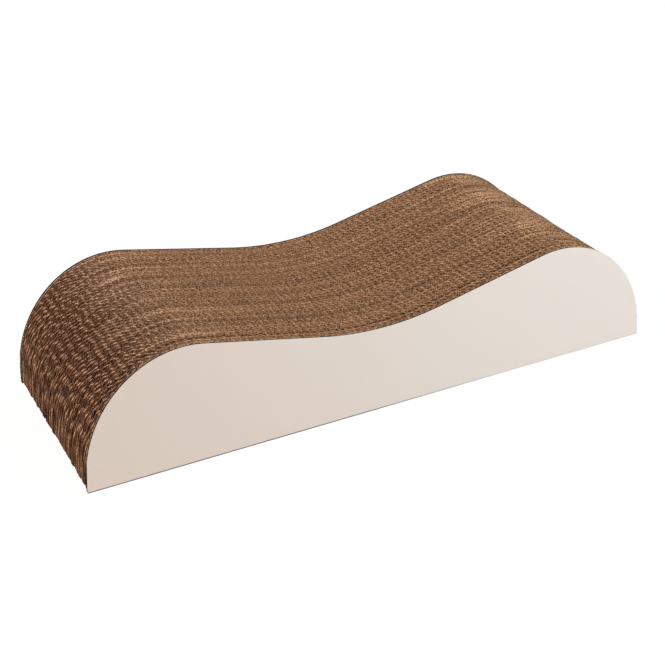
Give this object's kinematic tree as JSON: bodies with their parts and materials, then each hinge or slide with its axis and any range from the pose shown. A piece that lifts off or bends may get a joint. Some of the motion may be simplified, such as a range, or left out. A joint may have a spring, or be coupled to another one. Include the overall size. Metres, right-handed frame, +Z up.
{
  "type": "cat scratcher lounge",
  "caption": "Long wave-shaped scratching lounge with two rounded humps and a shallow dip, made of upright corrugated board strips glued between smooth side panels.",
  "frame": {"origin": "middle of the underside, on the plane that the two side panels stand on", "axes": "+X along the long way of the lounge, +Y from the front panel to the back panel across the stack of strips, +Z up"},
  "size_m": [0.6, 0.2248, 0.122],
  "materials": {
    "kraft_board": "matte",
    "panel_board": "matte"
  },
  "bodies": {
    "root": {"front_panel": "panel_board", "back_panel": "panel_board", "strip_01": "kraft_board", "strip_02": "kraft_board", "strip_03": "kraft_board", "strip_04": "kraft_board", "strip_05": "kraft_board", "strip_06": "kraft_board", "strip_07": "kraft_board", "strip_08": "kraft_board", "strip_09": "kraft_board", "strip_10": "kraft_board", "strip_11": "kraft_board", "strip_12": "kraft_board", "strip_13": "kraft_board", "strip_14": "kraft_board", "strip_15": "kraft_board", "strip_16": "kraft_board", "strip_17": "kraft_board", "strip_18": "kraft_board", "strip_19": "kraft_board", "strip_20": "kraft_board", "strip_21": "kraft_board", "strip_22": "kraft_board", "strip_23": "kraft_board", "strip_24": "kraft_board", "strip_25": "kraft_board", "strip_26": "kraft_board", "strip_27": "kraft_board", "strip_28": "kraft_board", "strip_29": "kraft_board", "strip_30": "kraft_board", "strip_31": "kraft_board", "strip_32": "kraft_board", "strip_33": "kraft_board", "strip_34": "kraft_board", "strip_35": "kraft_board", "strip_36": "kraft_board", "strip_37": "kraft_board", "strip_38": "kraft_board", "strip_39": "kraft_board"}
  },
  "joints": []
}
